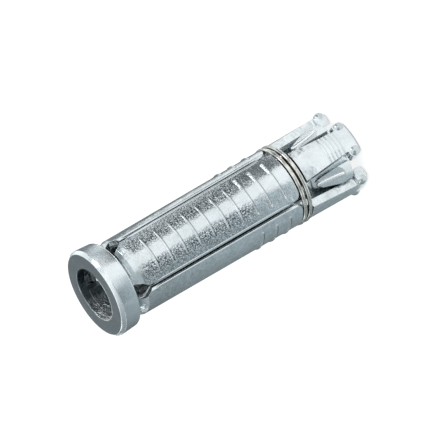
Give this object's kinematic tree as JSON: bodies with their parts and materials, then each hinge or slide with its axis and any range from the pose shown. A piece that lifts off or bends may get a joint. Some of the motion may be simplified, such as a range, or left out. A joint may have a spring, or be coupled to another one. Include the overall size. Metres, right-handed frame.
{
  "type": "shield anchor",
  "caption": "Zinc-plated expanding shield anchor: pressed quarter shells held by a ferrule and a wire ring round a threaded cone nut.",
  "frame": {"origin": "centre of the plane through the shells' tips, on the axis", "axes": "+Z along the axis from the tips to the ferrule's mouth; -Y through the middle of the front shell"},
  "size_m": [0.0152, 0.0152, 0.05],
  "materials": {
    "zinc_plate": "gloss",
    "spring_wire": "satin"
  },
  "bodies": {
    "ferrule": {"ferrule": "zinc_plate", "wire_ring": "spring_wire"},
    "cone_nut": {"cone_nut": "zinc_plate"},
    "shell_right": {"shell_right": "zinc_plate"},
    "shell_back": {"shell_back": "zinc_plate"},
    "shell_left": {"shell_left": "zinc_plate"},
    "shell_front": {"shell_front": "zinc_plate"}
  },
  "joints": [
    {"name": "nut_draw", "type": "slide", "parent": "ferrule", "child": "cone_nut", "axis": [0, 0, 1], "range_m": [0, 0.009], "deforming": ["wire_ring"]},
    {"name": "open_right", "type": "hinge", "parent": "ferrule", "child": "shell_right", "pos_m": [0.0059, 0, 0.0476], "axis": [0, -1, 0], "range_deg": [0, 1.09]},
    {"name": "open_back", "type": "hinge", "parent": "ferrule", "child": "shell_back", "pos_m": [0, 0.0059, 0.0476], "axis": [1, 0, 0], "range_deg": [0, 1.09]},
    {"name": "open_left", "type": "hinge", "parent": "ferrule", "child": "shell_left", "pos_m": [-0.0059, 0, 0.0476], "axis": [0, 1, 0], "range_deg": [0, 1.09]},
    {"name": "open_front", "type": "hinge", "parent": "ferrule", "child": "shell_front", "pos_m": [0, -0.0059, 0.0476], "axis": [-1, 0, 0], "range_deg": [0, 1.09]}
  ],
  "couplings": [
    {"joint": "open_right", "follows": "nut_draw", "rad_per_m": 2.1},
    {"joint": "open_back", "follows": "nut_draw", "rad_per_m": 2.1},
    {"joint": "open_left", "follows": "nut_draw", "rad_per_m": 2.1},
    {"joint": "open_front", "follows": "nut_draw", "rad_per_m": 2.1}
  ]
}
